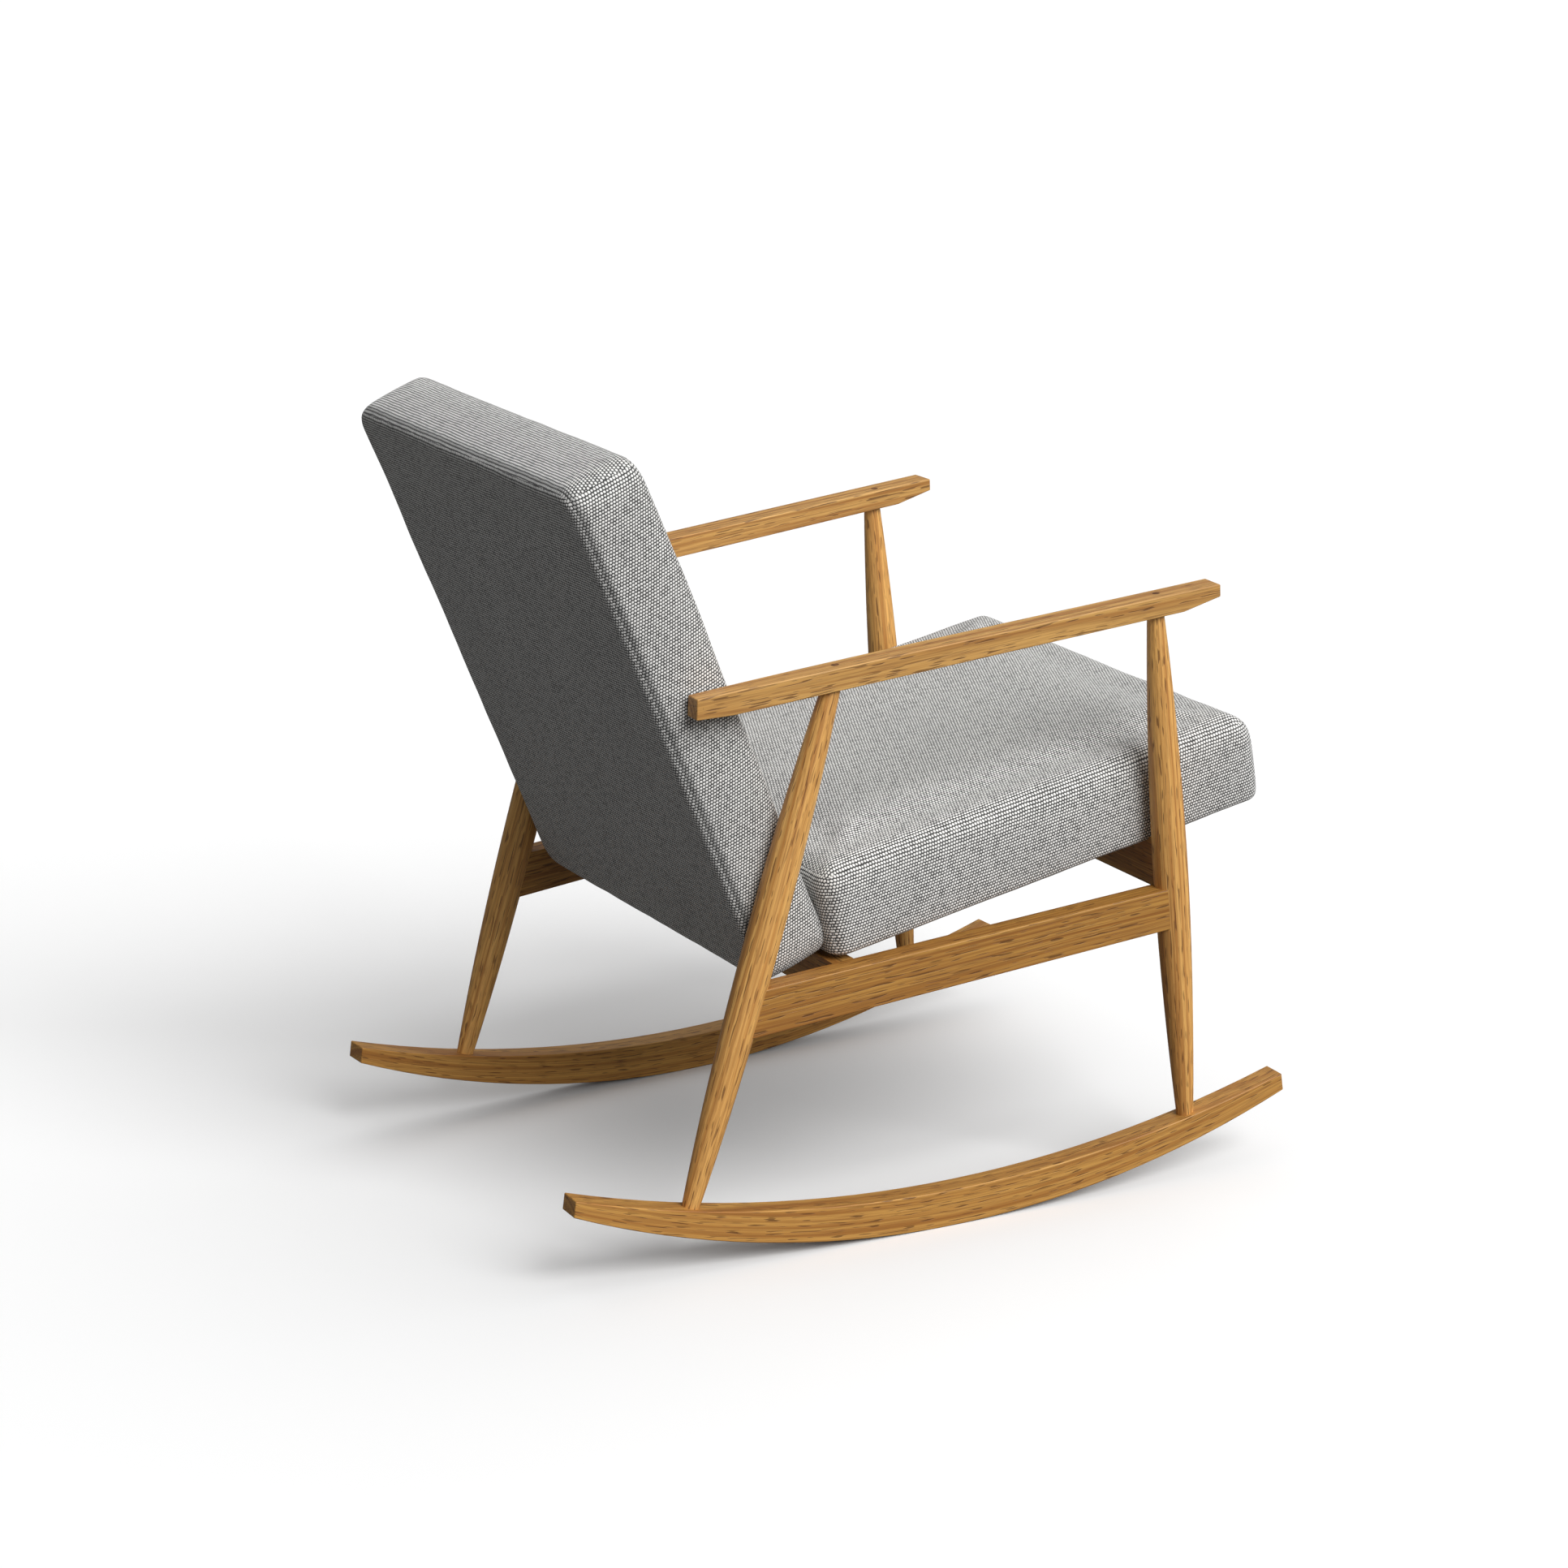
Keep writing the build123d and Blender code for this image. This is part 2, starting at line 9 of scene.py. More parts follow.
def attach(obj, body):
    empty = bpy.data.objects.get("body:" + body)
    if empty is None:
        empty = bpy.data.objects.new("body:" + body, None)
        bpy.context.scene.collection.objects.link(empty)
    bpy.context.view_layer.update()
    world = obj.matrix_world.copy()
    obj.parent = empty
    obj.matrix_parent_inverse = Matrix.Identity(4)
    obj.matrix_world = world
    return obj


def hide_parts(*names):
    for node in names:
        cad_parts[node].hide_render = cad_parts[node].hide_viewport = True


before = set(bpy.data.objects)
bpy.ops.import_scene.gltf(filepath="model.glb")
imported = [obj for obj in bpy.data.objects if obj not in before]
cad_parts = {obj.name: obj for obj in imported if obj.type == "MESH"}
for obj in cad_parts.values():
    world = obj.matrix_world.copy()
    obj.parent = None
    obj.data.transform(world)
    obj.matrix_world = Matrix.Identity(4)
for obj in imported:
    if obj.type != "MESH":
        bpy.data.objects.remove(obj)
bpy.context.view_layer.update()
scene = bpy.context.scene

# ---- seat and back cushions, a few millimetres fuller than their CAD covers ----
SEAT_AT = (0.0, 0.1211, 0.3073)      # middle of the bottom rear edge
SEAT_TILT = math.radians(10.35)
SEAT_SIZE = (0.532, 0.540, 0.1010)   # width, depth, thickness
SEAT_CORNER = 0.020                  # radius of the upright corners
SEAT_EDGE = 0.030                    # radius of the top edge
SEAT_LOW_EDGE = 0.007                # radius of the bottom edge
BACK_AT = (0.0, 0.1948, 0.2841)      # middle of the bottom rear edge
BACK_LEAN = math.radians(22.35)
BACK_SIZE = (0.501, 0.583, 0.086)    # width, length, nominal thickness
BACK_DEPTH = [                       # height along the back, thickness there
    (0.0, 0.085), (0.146, 0.085), (0.306, 0.088), (0.446, 0.087), (0.583, 0.085)]
BACK_CORNER = 0.026                  # radius of the corners, seen from the front
BACK_EDGE = 0.010                    # radius of the front edge
BACK_REAR_EDGE = 0.010               # radius of the rear edge
CELL = 0.0052                        # spacing of cushion vertices before subdivision
PRESSURE = 4.0                       # of the cloth solver that fills the cushions
SIM_FRAMES = 20
HELD_SEAM = 0.85                     # how firmly the solver holds a seam

# ---- wood ----
TOE_IN = 0.0425                      # the side frames draw together by this slope
HEART = (0.034, 0.021)               # from a piece's middle to the centre of its growth rings
OAK_PIECES = [                       # node, tone, share of blue
    ("rocker_left", 0.87, 1.0), ("rocker_right", 0.87, 1.0),
    ("front_leg_left", 1.24, 1.30), ("front_leg_right", 1.24, 1.30),
    ("rear_leg_left", 1.22, 1.30), ("rear_leg_right", 1.22, 1.30),
    ("armrest_left", 0.93, 1.30), ("armrest_right", 0.93, 1.30),
    ("side_rail_left", 0.71, 0.88), ("side_rail_right", 0.71, 0.88),
    ("front_cross_rail", 0.8, 1.0), ("rear_cross_rail", 0.8, 1.0), ("seat_rest_pads", 0.9, 1.0)]
PINE_PIECES = ("seat_frame_sides", "seat_frame_ends", "back_frame_posts", "back_frame_rails")

# ---- cloth ----
WEAVE_PITCH = (0.0033, 0.0032)       # along a row, and from row to row
WEAVE_STAGGER = 0.42                 # each row starts this share of a float later
CUSHION_NODES = ("seat_dust_cover", "seat_cover", "seat_foam",
                 "back_cover", "back_foam", "back_rear_panel")

# ---- studio ----
FLOOR_SIZE = 120.0
FLOOR_BOUNCE = (0.17, 0.17, 0.17, 1)  # the floor's grey for the light that it sends back
SKY_LIT, SKY_SEEN = 0.15, 1.0        # sky strength on the chair, and behind it
CAMERA_AT = (-3.950265, 2.276195, 1.756519)
CAMERA_YAW = math.radians(-29.5907)
CAMERA_PITCH = math.radians(16.4450)
CAMERA_LENS = 100.776


# ------------------------------------------------------------------ shader nodes
class Graph:
    """A material with a Principled shader, and short calls that add nodes to it."""

    def __init__(self, name):
        self.material = bpy.data.materials.new(name)
        self.material.use_nodes = True
        self.tree = self.material.node_tree
        self.tree.nodes.clear()
        self.out = self.tree.nodes.new("ShaderNodeOutputMaterial")
        self.shader = self.tree.nodes.new("ShaderNodeBsdfPrincipled")
        self.tree.links.new(self.shader.outputs[0], self.out.inputs[0])

    def node(self, kind, **settings):
        made = self.tree.nodes.new(kind)
        for key, value in settings.items():
            setattr(made, key, value)
        return made

    def feed(self, socket, value):
        if isinstance(value, bpy.types.NodeSocket):
            self.tree.links.new(value, socket)
        else:
            socket.default_value = value

    def math(self, operation, *values, clamp=False):
        made = self.node("ShaderNodeMath", operation=operation, use_clamp=clamp)
        for socket, value in zip(made.inputs, values):
            self.feed(socket, value)
        return made.outputs[0]

    def dot(self, a, b):
        made = self.node("ShaderNodeVectorMath", operation="DOT_PRODUCT")
        self.feed(made.inputs[0], a)
        self.feed(made.inputs[1], b)
        return made.outputs["Value"]

    def vector(self, x, y, z):
        made = self.node("ShaderNodeCombineXYZ")
        for socket, value in zip(made.inputs, (x, y, z)):
            self.feed(socket, value)
        return made.outputs[0]

    def split(self, vector):
        made = self.node("ShaderNodeSeparateXYZ")
        self.feed(made.inputs[0], vector)
        return made.outputs

    def noise(self, vector, scale=1.0, detail=2.0, rough=0.5):
        made = self.node("ShaderNodeTexNoise")
        self.feed(made.inputs["Vector"], vector)
        made.inputs["Scale"].default_value = scale
        made.inputs["Detail"].default_value = detail
        made.inputs["Roughness"].default_value = rough
        return made.outputs["Fac"]

    def ranged(self, value, low, high, to_low=0.0, to_high=1.0):
        made = self.node("ShaderNodeMapRange", interpolation_type="SMOOTHSTEP")
        for socket, item in zip(made.inputs, (value, low, high, to_low, to_high)):
            self.feed(socket, item)
        return made.outputs[0]

    def mix(self, share, a, b):
        made = self.node("ShaderNodeMix", data_type="RGBA")
        self.feed(made.inputs[0], share)
        self.feed(made.inputs[6], a)
        self.feed(made.inputs[7], b)
        return made.outputs[2]

    def pick(self, share, a, b):
        """a where share is 0, b where it is 1."""
        made = self.node("ShaderNodeMix", data_type="FLOAT")
        self.feed(made.inputs[0], share)
        self.feed(made.inputs[2], a)
        self.feed(made.inputs[3], b)
        return made.outputs[0]

    def bump(self, height, distance, strength=1.0):
        made = self.node("ShaderNodeBump")
        made.inputs["Strength"].default_value = strength
        made.inputs["Distance"].default_value = distance
        self.feed(made.inputs["Height"], height)
        self.feed(self.shader.inputs["Normal"], made.outputs[0])

    def set(self, **values):
        names = {
            "color": "Base Color", "rough": "Roughness", "metal": "Metallic",
            "spec": "Specular IOR Level", "sheen": "Sheen Weight",
            "sheen_rough": "Sheen Roughness", "coat": "Coat Weight", "coat_rough": "Coat Roughness",
        }
        for key, value in values.items():
            self.feed(self.shader.inputs[names[key]], value)

    def place(self):
        return self.node("ShaderNodeTexCoord").outputs["Object"]


def rgb(r, g, b):
    """Linear colour from 0-255 display values."""
    def one(v):
        v /= 255.0
        return v / 12.92 if v <= 0.04045 else ((v + 0.055) / 1.055) ** 2.4
    return (one(r), one(g), one(b), 1.0)


# ------------------------------------------------------------------ wood
def grain_frame(obj):
    """Centre and axes of a long piece: the grain runs along the first axis."""
    co = np.array([v.co for v in obj.data.vertices], float)
    centre = (co.min(0) + co.max(0)) / 2
    _, axes = np.linalg.eigh(np.cov((co - co.mean(0)).T))
    axes = axes.T[::-1]
    axes[0] *= np.sign(axes[0][np.argmax(abs(axes[0]))])
    return centre, axes


def runner_radius(obj):
    """Radius of a rocker's bottom arc, from its rear tip and the floor."""
    co = np.array([v.co for v in obj.data.vertices], float)
    rear = co[co[:, 1] > co[:, 1].max() - 0.01]
    y, z = rear[rear[:, 2].argmin(), 1:]
    return (y * y + z * z) / (2 * z)


def wood_axes(g, obj, seed, runner):
    """Coordinates along the grain and across it, in metres."""
    place = g.place()
    if runner:
        radius = runner_radius(obj) * 1.12
        x, y, z = g.split(place)
        drop = g.math("SUBTRACT", radius, z)
        turn = g.math("ARCTAN2", y, drop)
        along = g.math("MULTIPLY", turn, radius)
        reach = g.math("SQRT", g.math("ADD", g.math("POWER", y, 2.0), g.math("POWER", drop, 2.0)))
        depth = g.math("SUBTRACT", radius, reach)
        across = g.math("ADD", g.math("ABSOLUTE", x), g.math("MULTIPLY", y, TOE_IN))
        return g.math("ADD", along, seed * 1.7), depth, g.math("SUBTRACT", across, 0.28)
    centre, axes = grain_frame(obj)
    out = []
    for axis in axes:
        value = g.dot(place, tuple(axis))
        out.append(g.math("SUBTRACT", value, float(centre @ axis)))
    return g.math("ADD", out[0], seed * 1.7), out[1], out[2]


def oak(name, obj, seed, runner, tone, pale):
    """Oiled oak: growth bands, fine fibres and short dark pores along the grain."""
    g = Graph(name)
    along, deep, wide = wood_axes(g, obj, seed, runner)
    drift = g.noise(g.vector(g.math("MULTIPLY", along, 2.6), g.math("MULTIPLY", deep, 14.0),
                             g.math("MULTIPLY", wide, 14.0)), detail=2.0)
    drift = g.math("MULTIPLY", g.math("SUBTRACT", drift, 0.5), 0.011)
    a = g.math("ADD", g.math("ADD", deep, HEART[0]), drift)
    b = g.math("ADD", wide, HEART[1])
    ring = g.math("SQRT", g.math("ADD", g.math("MULTIPLY", a, a), g.math("MULTIPLY", b, b)))
    bands = g.noise(g.vector(g.math("MULTIPLY", ring, 250.0), g.math("MULTIPLY", along, 1.6), seed),
                    detail=2.0, rough=0.55)
    streak = g.ranged(bands, 0.40, 0.66)
    year = g.math("FRACT", g.math("MULTIPLY", ring, 175.0))
    early = g.ranged(year, 0.25, 0.95, 1.0, 0.0)
    fibre = g.noise(g.vector(g.math("MULTIPLY", along, 14.0), g.math("MULTIPLY", deep, 850.0),
                             g.math("MULTIPLY", wide, 850.0)), detail=2.0, rough=0.6)
    pore_at = g.vector(g.math("MULTIPLY", along, 48.0), g.math("MULTIPLY", deep, 620.0),
                       g.math("MULTIPLY", wide, 620.0))
    pore_noise = g.noise(pore_at, detail=0.0)
    pores = g.math("MULTIPLY", g.ranged(pore_noise, 0.60, 0.68), early)
    cloud = g.noise(g.vector(g.math("MULTIPLY", along, 5.0), g.math("MULTIPLY", deep, 22.0),
                             g.math("MULTIPLY", wide, 22.0)), detail=2.0)

    def toned(r, gr, bl):
        c = rgb(r, gr, bl)
        return (c[0] * tone, c[1] * tone * pale ** 0.25, c[2] * tone * pale, 1.0)

    late = g.ranged(year, 0.62, 0.97)
    color = g.mix(streak, toned(221, 166, 86), toned(178, 119, 54))
    color = g.mix(g.ranged(cloud, 0.35, 0.7, 0.0, 0.35), color, toned(192, 132, 62))
    color = g.mix(g.math("MULTIPLY", late, 0.34), color, toned(142, 90, 40))
    color = g.mix(g.ranged(fibre, 0.42, 0.72, 0.0, 0.50), color, toned(146, 94, 42))
    color = g.mix(g.math("MULTIPLY", pores, 0.74), color, toned(98, 59, 26))
    height = g.math("SUBTRACT", g.math("MULTIPLY", fibre, 0.35), pores)
    g.set(color=color, rough=g.ranged(fibre, 0.3, 0.75, 0.40, 0.56), spec=0.42,
          coat=0.10, coat_rough=0.30)
    g.bump(height, 0.00035, 0.55)
    return g.material


def plain_wood(name, obj, light, dark, seed):
    """Simple straight-grained wood for inner boards, dowels and plugs."""
    g = Graph(name)
    along, deep, wide = wood_axes(g, obj, seed, False)
    lines = g.noise(g.vector(g.math("MULTIPLY", along, 6.0), g.math("MULTIPLY", deep, 330.0),
                             g.math("MULTIPLY", wide, 330.0)), detail=3.0)
    specks = g.noise(g.vector(g.math("MULTIPLY", along, 90.0), g.math("MULTIPLY", deep, 900.0),
                              g.math("MULTIPLY", wide, 900.0)), detail=1.0)
    color = g.mix(g.ranged(lines, 0.36, 0.66), light, dark)
    speck = (dark[0] * 0.4, dark[1] * 0.4, dark[2] * 0.4, 1)
    color = g.mix(g.ranged(specks, 0.60, 0.72, 0.0, 0.6), color, speck)
    g.set(color=color, rough=g.ranged(lines, 0.3, 0.7, 0.5, 0.65), spec=0.3)
    g.bump(lines, 0.0002, 0.4)
    return g.material


# ------------------------------------------------------------------ metal, plastic, cloth
def steel():
    g = Graph("zinc_steel")
    spots = g.noise(g.place(), scale=420.0, detail=3.0)
    scratches = g.noise(g.place(), scale=2600.0, detail=1.0)
    color = g.mix(g.ranged(spots, 0.35, 0.7), rgb(178, 178, 172), rgb(140, 140, 138))
    g.set(color=color, metal=1.0, rough=g.ranged(scratches, 0.3, 0.7, 0.28, 0.46))
    g.bump(scratches, 0.00005, 0.3)
    return g.material


def black_plastic(name, grain):
    g = Graph(name)
    fine = g.noise(g.place(), scale=grain, detail=2.0)
    g.set(color=g.mix(fine, rgb(20, 20, 21), rgb(36, 36, 37)),
          rough=g.ranged(fine, 0.3, 0.7, 0.42, 0.62), spec=0.4)
    g.bump(fine, 0.00012, 0.5)
    return g.material


def cloth_axes(g, swaps):
    """Cloth coordinates u along the rows and v across them, by the face's main direction."""
    tex = g.node("ShaderNodeTexCoord")
    x, y, z = g.split(tex.outputs["Object"])
    nx, ny, nz = (g.math("ABSOLUTE", s) for s in g.split(tex.outputs["Normal"]))
    on_z = g.math("GREATER_THAN", nz, g.math("MAXIMUM", nx, ny))
    on_x = g.math("GREATER_THAN", nx, ny)
    plans = {"xy": (x, y), "yx": (y, x), "yz": (y, z), "zy": (z, y), "xz": (x, z), "zx": (z, x)}
    fx, fy, fz = (plans[s] for s in swaps)
    u = g.pick(on_z, g.pick(on_x, fy[0], fx[0]), fz[0])
    v = g.pick(on_z, g.pick(on_x, fy[1], fx[1]), fz[1])
    return u, v


def weave(name, swaps):
    """Grey melange basket weave: light threads in staggered short floats over a dark ground."""
    g = Graph(name)
    u, v = cloth_axes(g, swaps)
    plane = g.vector(u, v, 0.0)
    wander_u = g.noise(plane, scale=95.0, detail=1.0)
    wander_v = g.noise(g.vector(v, u, 3.0), scale=70.0, detail=1.0)
    u = g.math("ADD", u, g.math("MULTIPLY", g.math("SUBTRACT", wander_u, 0.5), 0.0009))
    v = g.math("ADD", v, g.math("MULTIPLY", g.math("SUBTRACT", wander_v, 0.5), 0.0013))
    row = g.math("DIVIDE", v, WEAVE_PITCH[1])
    row_id = g.math("FLOOR", row)
    col = g.math("ADD", g.math("DIVIDE", u, WEAVE_PITCH[0]),
                 g.math("MULTIPLY", row_id, WEAVE_STAGGER))
    col_id = g.math("FLOOR", col)
    arc_u = g.math("SINE", g.math("MULTIPLY", g.math("FRACT", col), math.pi))
    arc_v = g.math("SINE", g.math("MULTIPLY", g.math("FRACT", row), math.pi))
    float_top = g.math("MULTIPLY", g.math("POWER", arc_u, 0.75), g.math("POWER", arc_v, 0.9))
    white = g.node("ShaderNodeTexWhiteNoise", noise_dimensions="2D")
    g.feed(white.inputs["Vector"], g.vector(col_id, row_id, 0.0))
    chance = white.outputs["Value"]
    yarn = g.ranged(chance, 0.0, 0.60, 0.70, 1.0)
    hairs = g.noise(g.vector(g.math("MULTIPLY", u, 900.0), g.math("MULTIPLY", v, 2600.0), 0.0),
                    detail=1.0)
    light = g.math("MULTIPLY", float_top, yarn)
    light = g.math("ADD", light, g.math("MULTIPLY", g.math("SUBTRACT", hairs, 0.5), 0.20))
    cloud = g.noise(plane, scale=9.0, detail=2.0)
    shade = g.ranged(light, 0.18, 0.70)
    color = g.mix(shade, rgb(54, 54, 54), rgb(247, 246, 243))
    color = g.mix(g.ranged(cloud, 0.3, 0.75, 0.0, 0.10), color, rgb(120, 120, 120))
    seam = g.node("ShaderNodeAttribute", attribute_name="seam").outputs["Fac"]
    color = g.mix(g.ranged(seam, 0.0, 1.0), color, rgb(48, 48, 48))
    g.set(color=color, rough=0.93, spec=0.18, sheen=0.22, sheen_rough=0.5)
    g.bump(float_top, 0.0006, 0.75)
    return g.material


def dust_cloth(name):
    """Thin black non-woven cloth with a fine dimpled grid."""
    g = Graph(name)
    x, y, _ = g.split(g.place())
    dots = g.math("MULTIPLY", g.math("SINE", g.math("MULTIPLY", x, 3600.0)),
                  g.math("SINE", g.math("MULTIPLY", y, 3600.0)))
    fluff = g.noise(g.place(), scale=260.0, detail=3.0)
    g.set(color=g.mix(fluff, rgb(26, 26, 27), rgb(48, 48, 49)), rough=0.9, spec=0.15, sheen=0.1)
    g.bump(g.math("ADD", g.math("MULTIPLY", dots, 0.5), fluff), 0.0002, 0.6)
    return g.material


def strap_cloth(name):
    """Elastic webbing: ribs along the strap with dark marker threads."""
    g = Graph(name)
    x, y, z = g.split(g.place())
    ribs = g.math("SINE", g.math("MULTIPLY", g.math("ADD", y, z), 2600.0))
    picks = g.math("SINE", g.math("MULTIPLY", x, 4200.0))
    color = g.mix(g.ranged(ribs, -0.6, 0.9), rgb(60, 52, 44), rgb(122, 108, 88))
    g.set(color=color, rough=0.85, spec=0.2)
    g.bump(g.math("MULTIPLY", ribs, picks), 0.0003, 0.6)
    return g.material


def paint(node, material):
    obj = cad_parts[node]
    if not obj.material_slots:
        obj.data.materials.append(material)
    for slot in obj.material_slots:
        slot.material = material


# ------------------------------------------------------------------ cushion mesh
def lattice(nx, ny, nz):
    """Vertices on the surface of an nx by ny by nz box of cells, and its quads."""
    index, points, quads = {}, [], []

    def at(i, j, k):
        key = (i, j, k)
        if key not in index:
            index[key] = len(points)
            points.append(key)
        return index[key]

    for i in range(nx):
        for j in range(ny):
            quads.append([at(i, j, nz), at(i + 1, j, nz), at(i + 1, j + 1, nz), at(i, j + 1, nz)])
            quads.append([at(i, j, 0), at(i, j + 1, 0), at(i + 1, j + 1, 0), at(i + 1, j, 0)])
    for k in range(nz):
        for i in range(nx):
            quads.append([at(i, 0, k), at(i + 1, 0, k), at(i + 1, 0, k + 1), at(i, 0, k + 1)])
            quads.append([at(i, ny, k), at(i, ny, k + 1), at(i + 1, ny, k + 1), at(i + 1, ny, k)])
        for j in range(ny):
            quads.append([at(0, j, k), at(0, j, k + 1), at(0, j + 1, k + 1), at(0, j + 1, k)])
            quads.append([at(nx, j, k), at(nx, j + 1, k), at(nx, j + 1, k + 1), at(nx, j, k + 1)])
    return np.array(points, float), quads


def rounded(value, corner, half_a, half_b):
    """Moves points on a rectangle's outline onto the same outline with round corners."""
    inner = np.stack([np.clip(value[:, 0], -(half_a - corner), half_a - corner),
                      np.clip(value[:, 1], -(half_b - corner), half_b - corner)], 1)
    off = value - inner
    size = np.linalg.norm(off, axis=1)
    both = (abs(off[:, 0]) > 1e-9) & (abs(off[:, 1]) > 1e-9)
    out = value.copy()
    scale = (corner / np.maximum(size, 1e-12))[:, None]
    out[both] = (inner + off * scale)[both]
    return out


def pad_shape(size, corner, top_edge, low_edge, pull):
    """A block with round corners and edges, centred in plan, from 0 to its thickness.

    pull is how far the middle of each side draws in. Returns the lattice keys, positions,
    quads and lattice size.
    """
    a, b, h = size[0] / 2, size[1] / 2, size[2]
    nx, ny, nz = (max(8, round(s / CELL)) for s in size)
    keys, quads = lattice(nx, ny, nz)
    s = keys[:, 0] / nx * 2 - 1
    t = keys[:, 1] / ny * 2 - 1
    k = keys[:, 2]
    inside = np.minimum((1 - abs(s)) * a, (1 - abs(t)) * b)
    z_side = k / nz * h
    q = math.pi / 4
    top, low = k == nz, k == 0
    phi_top = np.where(top, q + q * np.minimum(inside / top_edge, 1),
                       q * (1 - (h - z_side) / top_edge))
    phi_low = np.where(low, q + q * np.minimum(inside / low_edge, 1), q * (1 - z_side / low_edge))
    inset, z = inside.copy(), z_side.copy()
    near_top = (top & (inside < top_edge)) | (~top & ~low & (h - z_side < top_edge))
    near_low = (low & (inside < low_edge)) | (~top & ~low & (z_side < low_edge))
    inset[near_top] = (top_edge * (1 - np.cos(phi_top)))[near_top]
    z[near_top] = (h - top_edge + top_edge * np.sin(phi_top))[near_top]
    inset[near_low] = (low_edge * (1 - np.cos(phi_low)))[near_low]
    z[near_low] = (low_edge - low_edge * np.sin(phi_low))[near_low]
    plan = np.zeros((len(keys), 2))
    for index in range(len(keys)):
        e = inset[index]
        ring_a, ring_b = a - e, b - e
        old_a, old_b = a - inside[index], b - inside[index]
        p = np.array([[s[index] * a * ring_a / max(old_a, 1e-9),
                       t[index] * b * ring_b / max(old_b, 1e-9)]])
        if max(abs(s[index]) * a - old_a, abs(t[index]) * b - old_b) > 1e-9:
            raise ValueError("a lattice point is off its ring")
        r = corner - e
        plan[index] = rounded(p, r, ring_a, ring_b)[0] if r > 0 else p[0]
    bow_x = 1 - pull / a * np.cos(plan[:, 1] / b * math.pi / 2).clip(0) ** 1.5
    bow_y = 1 - pull / b * np.cos(plan[:, 0] / a * math.pi / 2).clip(0) ** 1.5
    place = np.stack([plan[:, 0] * bow_x, plan[:, 1] * bow_y, z], 1)
    return keys, place, quads, (nx, ny, nz)


def mesh_object(name, points, quads):
    mesh = bpy.data.meshes.new(name)
    mesh.from_pydata([tuple(p) for p in points], [], quads)
    mesh.update()
    obj = bpy.data.objects.new(name, mesh)
    scene.collection.objects.link(obj)
    return obj


def coords(mesh):
    out = np.zeros(len(mesh.vertices) * 3, np.float32)
    mesh.vertices.foreach_get("co", out)
    return out.reshape(-1, 3).astype(float)


def swell(obj, held, caps):
    """Fills a closed cover with pressure in the cloth solver, then limits how far a point moved."""
    start = coords(obj.data)
    group = obj.vertex_groups.new(name="held")
    for weight in sorted(set(held)):
        if weight > 0:
            group.add([int(i) for i in np.nonzero(held == weight)[0]], float(weight), "REPLACE")
    cloth = obj.modifiers.new("Cloth", "CLOTH")
    s = cloth.settings
    s.quality = 5
    s.mass = 0.3
    s.tension_stiffness = s.compression_stiffness = 18.0
    s.shear_stiffness = 8.0
    s.bending_stiffness = 1.2
    s.use_pressure = True
    s.uniform_pressure_force = PRESSURE
    s.vertex_group_mass = "held"
    s.effector_weights.gravity = 0.0
    cloth.point_cache.frame_start, cloth.point_cache.frame_end = 1, SIM_FRAMES
    for step in range(1, SIM_FRAMES + 1):
        scene.frame_set(step)
    after = obj.evaluated_get(bpy.context.evaluated_depsgraph_get()).to_mesh()
    end = coords(after)
    obj.modifiers.remove(cloth)
    obj.vertex_groups.remove(group)
    scene.frame_set(1)
    move = end - start
    size = np.linalg.norm(move, axis=1)
    limit = np.maximum(caps, 1e-6)
    move = move * (limit * np.tanh(size / limit) / np.maximum(size, 1e-9))[:, None]
    out = normals_of(obj)
    along = (move * out).sum(1)
    move = out * np.maximum(along, -0.0003)[:, None] + (move - out * along[:, None]) * 0.3
    return start + evened(obj, move, 5)


def evened(obj, values, rounds):
    """Averages a value over the mesh, a few times."""
    edges = np.array([e.vertices[:] for e in obj.data.edges])
    count = np.bincount(edges.ravel(), minlength=len(values))[:, None]
    for _ in range(rounds):
        total = np.zeros_like(values)
        np.add.at(total, edges[:, 0], values[edges[:, 1]])
        np.add.at(total, edges[:, 1], values[edges[:, 0]])
        values = 0.5 * values + 0.5 * total / count
    return values


def on_side(keys, counts):
    """Whether a lattice point is on one of the four sides."""
    nx, ny, _ = counts
    return (keys[:, 0] == 0) | (keys[:, 0] == nx) | (keys[:, 1] == 0) | (keys[:, 1] == ny)


def rings_from(keys, counts, seams):
    """Distance in rows from each seam.

    A seam is ('level', row), or ('corner', low row, high row) for the upright corners.
    """
    nx, ny, _ = counts
    side = on_side(keys, counts)
    out = []
    for seam in seams:
        if seam[0] == "level":
            away = np.where(side, abs(keys[:, 2] - seam[1]), 99)
        else:
            at_x = np.minimum(keys[:, 0], nx - keys[:, 0])
            at_y = np.minimum(keys[:, 1], ny - keys[:, 1])
            inner = (keys[:, 2] >= seam[1]) & (keys[:, 2] <= seam[2])
            away = np.where(side & inner, np.maximum(at_x, at_y), 99)
        out.append(away)
    return out


def normals_of(obj):
    out = np.zeros(len(obj.data.vertices) * 3, np.float32)
    obj.data.vertices.foreach_get("normal", out)
    return out.reshape(-1, 3).astype(float)


def put(obj, points):
    obj.data.vertices.foreach_set("co", points.astype(np.float32).ravel())
    obj.data.update()


